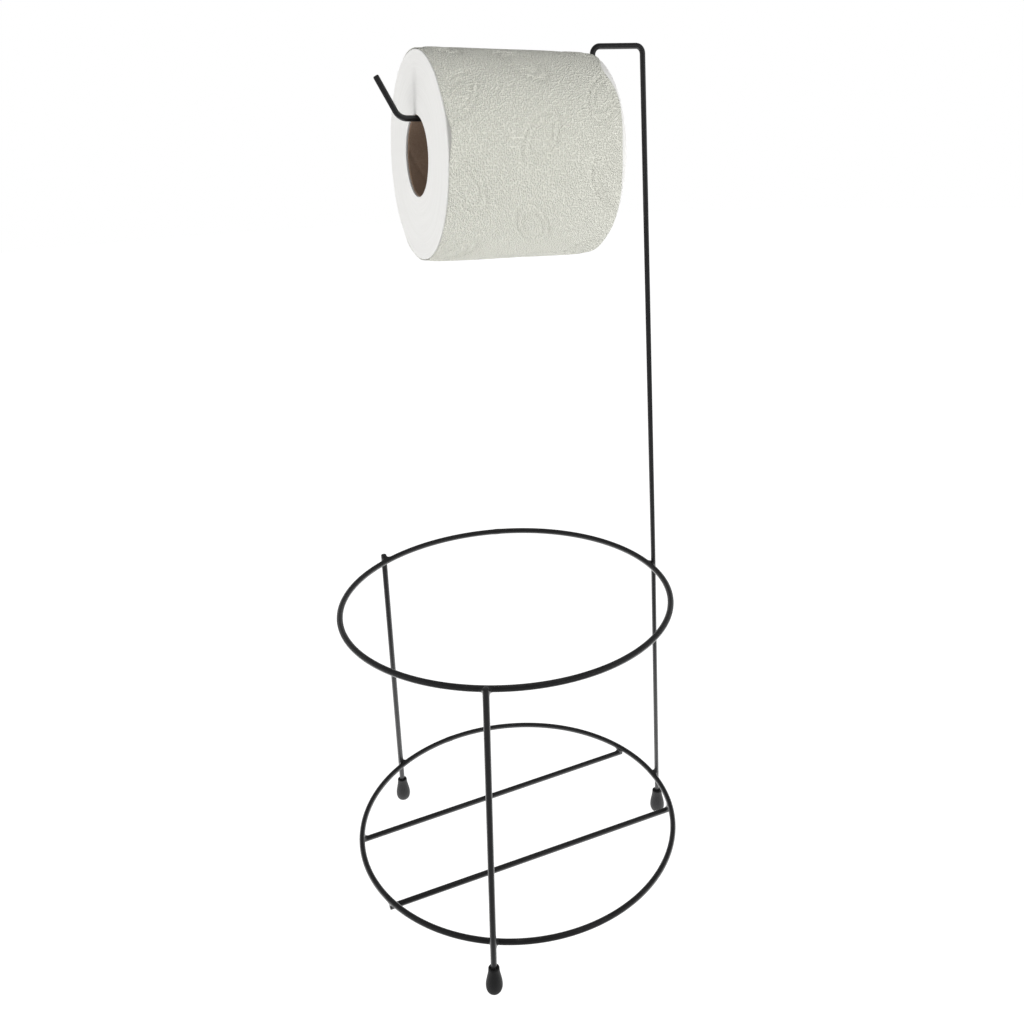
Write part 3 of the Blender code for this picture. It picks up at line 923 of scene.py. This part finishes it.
def sagged(radius):
    """How far below the core's own axis the turn of this radius has sagged."""
    return PAPER_SAG * max(0.0, (radius - CORE_OUTSIDE) / (PAPER_OUTSIDE - CORE_OUTSIDE))


half = PAPER_LENGTH / 2
outline = []
for sign in (-1, 1):
    face = [(CORE_OUTSIDE + FACE_LAP, sign * (half - FACE_LIP)), (FACE_OPENING, sign * (half - FACE_LIP))]
    for step in range(FACE_ROWS + 1):
        radius = FACE_OPENING + (WOUND_RADIUS - EDGE_ROUND - FACE_OPENING) * step / FACE_ROWS
        face.append((radius, sign * half))
    for step in range(1, EDGE_STEPS + 1):
        angle = math.pi / 2 * step / EDGE_STEPS
        radius = WOUND_RADIUS - EDGE_ROUND * (1 - math.sin(angle))
        face.append((radius, sign * (half - EDGE_ROUND * (1 - math.cos(angle)))))
    outline += face if sign < 0 else face[::-1]
rows = turned_rows(outline, WOUND_SIDES)
for row, (radius, along) in zip(rows, outline):
    share = min(1.0, max(0.0, (radius - FACE_OPENING) / (WOUND_RADIUS - FACE_OPENING)))
    sign = 1 if along > 0 else -1
    for place in row:
        way = Vector((place[0], place[1], 0)) / radius
        wave_place = Vector((0, 0, radius / FACE_WAVE_PITCH + sign * FACE_WAVE_SEED))
        ridge_place = Vector((0, 0, radius / RIDGE_PITCH + sign * RIDGE_SEED))
        wave = FACE_WAVE * noise.noise(way * FACE_WAVE_LUMPS + wave_place)
        ridge = FACE_RIDGE * noise.noise(way * RIDGE_LUMPS + ridge_place)
        dish = FACE_DISH * math.sin(math.pi * share) ** 2
        place[2] -= sign * (dish + abs(wave) + ridge + FACE_RIDGE)
        place[0] -= sagged(radius)
wound = loft("wound_paper", rows, wound_ends, tube=True, smooth_angle=60)
wound.matrix_world = roll_frame
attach(wound, "roll")
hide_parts("paper_roll")


# ---- The outer turn of tissue --------------------------------------------------------------------------
# The last turn of two-ply tissue, micro-embossed all over and pressed with a leaf pattern. It lies a
# little loose: its edges stand off the roll in places, and its torn tail is tucked round at the back.

TISSUE_THICKNESS = 0.00030
WRAP_STEPS = 500
WRAP_ROWS = 132
STRIP_ROWS = 2
WRAP_START = -65.0
WRAP_OVERLAP = 14.0
WRAP_SETBACK = 0.0006
WRAP_INNER_STRIP = 0.0030
TAIL_TOOTH = 0.0006
TAIL_TOOTH_PITCH = 0.0042
TAIL_LIFT = 0.0005
WRAP_SLACK = 0.00050
WRAP_CLEARANCE = 0.00075
WRAP_HUG = 0.00070
WRAP_LIFT = 0.0006
WRAP_EDGE_BAND = 0.004
WRAP_START_TIGHT = 20.0
WRAP_START_SLACK = 0.3
WRAP_RAGGED = 0.0005
RAGGED_LUMPS = 3
SLACK_LUMPS = 3.1
SLACK_LUMPS_ALONG = 34
OUTSIDE_STAND = 0.6
LOOSE_EDGES = {"near": (78, 6, 2.2), "far": (38, 10, 2.0)}
SET_BACK_EDGES = ((-1, 38, 12, 0.0052), (-1, 85, 24, 0.0022), (1, 78, 9, 0.0016))
LEAF_PITCH = (0.046, 0.040)
LEAF_SIZE = (0.0155, 0.0080)
LEAF_LINE = 0.0010
LEAF_DEPTH = 0.00072
LEAF_TILT = 0.6
LEAF_OVALS = (1.0, 0.62)
DOT_PITCH = 0.00110
DOT_EDGES = (0.15, 0.60)
DOT_DEPTH = 0.00045
CRINKLES_PER_METRE = 1200.0
CRINKLE_HEIGHT = 0.00024
SHEET_FIBRE_RELIEF = 0.00010
TISSUE_COLOUR = (0.78, 0.78, 0.70, 1)
# The next colour is painted shade for the hollows of the embossed dots, not a colour of the paper itself.
TISSUE_PAINTED_SHADE = (0.62, 0.625, 0.55, 1)

tissue, tree, shader = new_finish("embossed_tissue")
fibre = add_group(tree, matted_fibre, Fibre_Width=0.00030, Cloud_Size=0.012)
sheet_place = put(tree, "ShaderNodeAttribute", attribute_name="sheet_place").outputs["Vector"]
dots = put(
    tree,
    "ShaderNodeTexVoronoi",
    {"Vector": sheet_place, "Scale": 1 / DOT_PITCH, "Randomness": 0.85},
    voronoi_dimensions="2D",
    feature="SMOOTH_F1",
)
dots.inputs["Smoothness"].default_value = 0.35
pressed = put(
    tree,
    "ShaderNodeMapRange",
    {"Value": dots.outputs["Distance"], 1: DOT_EDGES[0], 2: DOT_EDGES[1], 3: 1.0, 4: 0.0},
)
crinkle = put(
    tree,
    "ShaderNodeTexNoise",
    {"Vector": sheet_place, "Scale": CRINKLES_PER_METRE, "Detail": 2.0, "Roughness": 0.6},
)
# Painted shade: the tissue's colour darkens in the pressed dots' hollows, mottled by the crinkle, though the
# paper itself is one colour.
hollow_painted_shade = put(tree, "ShaderNodeMath", {0: pressed.outputs[0], 1: crinkle.outputs[0]}, operation="MULTIPLY")
tissue_tone_with_painted_shade = blend_colour(tree, hollow_painted_shade.outputs[0], TISSUE_COLOUR, TISSUE_PAINTED_SHADE)
tree.links.new(tissue_tone_with_painted_shade, shader.inputs["Base Color"])
tree.links.new(between(tree, fibre["Cloud"], *PAPER_ROUGHNESS), shader.inputs["Roughness"])
dotted = raised(tree, pressed.outputs[0], -DOT_DEPTH)
crinkled = raised(tree, crinkle.outputs[0], CRINKLE_HEIGHT, over=dotted)
tree.links.new(raised(tree, fibre["Height"], SHEET_FIBRE_RELIEF, over=crinkled), shader.inputs["Normal"])
shader.inputs["Specular IOR Level"].default_value = PAPER_SHINE
shader.inputs["Sheen Weight"].default_value = PAPER_SHEEN


def leaf_press(around, along):
    """How deep the leaf pattern is pressed at this place on the sheet: tilted double ovals in rows."""
    row = round(along / LEAF_PITCH[1])
    shift = 0.5 * (row % 2)
    column = round(around / LEAF_PITCH[0] - shift)
    x = around - (column + shift) * LEAF_PITCH[0]
    y = along - row * LEAF_PITCH[1]
    tilt = LEAF_TILT if (row + column) % 2 else -LEAF_TILT
    u = x * math.cos(tilt) + y * math.sin(tilt)
    v = y * math.cos(tilt) - x * math.sin(tilt)
    depth = 0.0
    for scale in LEAF_OVALS:
        size = math.hypot(u / (LEAF_SIZE[0] * scale), v / (LEAF_SIZE[1] * scale))
        off = (size - 1) * LEAF_SIZE[1] * scale
        depth = max(depth, math.exp(-((off / LEAF_LINE) ** 2)))
    return LEAF_DEPTH * depth


def near(angle, middle, width):
    """1 at the middle angle, falling softly to 0 a width or two away, in degrees."""
    off = (angle - middle + 180) % 360 - 180
    return math.exp(-((off / width) ** 2))


def edge_setback(degrees, side):
    """How far the sheet's edge on this side stands back from the end of the roll."""
    angle = math.radians(degrees)
    ragged = noise.noise(Vector((math.cos(angle), math.sin(angle), side)) * RAGGED_LUMPS)
    setback = WRAP_SETBACK + WRAP_RAGGED * ragged
    for sign, middle, spread, depth in SET_BACK_EDGES:
        setback += depth * near(degrees, middle, spread) * (side * sign > 0)
    return setback


def looseness(degrees, side):
    """How loose the sheet's edge on this side is, where 0 lies tight on the roll."""
    middle, spread, lift = LOOSE_EDGES["near" if side > 0 else "far"]
    return lift * near(degrees, middle, spread)


# Points across the sheet: its place from edge to edge, how far the strip is turned in, and its outside.
section = []
for step in range(STRIP_ROWS + 1):
    section.append((-1, 1 - step / STRIP_ROWS, 0.0))
for step in range(WRAP_ROWS + 1):
    section.append((2 * step / WRAP_ROWS - 1, 0.0, 1.0))
for step in range(STRIP_ROWS + 1):
    section.append((1, step / STRIP_ROWS, 0.0))

places = []
sheet_places = []
inner_radius = WOUND_RADIUS + WRAP_CLEARANCE
whole_turn = 360 + WRAP_OVERLAP
for turn_step in range(WRAP_STEPS + 1):
    turned = whole_turn * turn_step / WRAP_STEPS
    degrees = WRAP_START + turned
    to_tail = (whole_turn - turned) / WRAP_OVERLAP
    for side, strip, outside in section:
        loose = looseness(degrees, side)
        reach = half - edge_setback(degrees, side)
        along = side * reach - math.copysign(strip * WRAP_INNER_STRIP, side)
        edge = math.exp(-(((reach - abs(along)) / WRAP_EDGE_BAND) ** 2))
        around = math.radians(turned) * inner_radius
        tear = 0.0
        if turn_step == WRAP_STEPS:
            tear = TAIL_TOOTH * abs(math.sin(math.pi * along / TAIL_TOOTH_PITCH))
        angle = math.radians(degrees) - tear / inner_radius
        way = Vector((math.cos(angle), math.sin(angle), 0))
        lump = noise.noise(way * SLACK_LUMPS + Vector((0, 0, along * SLACK_LUMPS_ALONG)))
        slack = WRAP_SLACK * (1 + lump) / 2
        radius = inner_radius + TISSUE_THICKNESS * turned / 360
        started = min(1, turned / WRAP_START_TIGHT)
        radius += slack * (WRAP_START_SLACK + (1 - WRAP_START_SLACK) * started)
        radius += (WRAP_LIFT * loose - WRAP_HUG * (1 - min(1.0, loose))) * edge
        radius += TAIL_LIFT * max(0.0, 1 - to_tail) ** 2
        radius += outside * (TISSUE_THICKNESS * OUTSIDE_STAND - leaf_press(around, along) * (1 - edge))
        if turn_step == 0:
            radius -= TISSUE_THICKNESS
        places.append((radius * way.x - sagged(radius), radius * way.y, along))
        sheet_places.append((around, along, 0.0))
number = np.arange(len(places)).reshape(WRAP_STEPS + 1, len(section))
quads = np.stack([number[:-1, :-1], number[1:, :-1], number[1:, 1:], number[:-1, 1:]], axis=-1)
mesh = bpy.data.meshes.new("outer_turn")
mesh.from_pydata(places, [], quads.reshape(-1, 4).tolist())
attribute = mesh.attributes.new("sheet_place", "FLOAT_VECTOR", "POINT")
attribute.data.foreach_set("vector", np.array(sheet_places, np.float32).ravel())
mesh.shade_smooth()
mesh.materials.append(tissue)
outer_turn = bpy.data.objects.new("outer_turn", mesh)
bpy.context.scene.collection.objects.link(outer_turn)
outer_turn.matrix_world = roll_frame
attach(outer_turn, "roll")


# ---- Sizes ---------------------------------------------------------------------------------------------
# The box round the finished model, without the floor.

low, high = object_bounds()
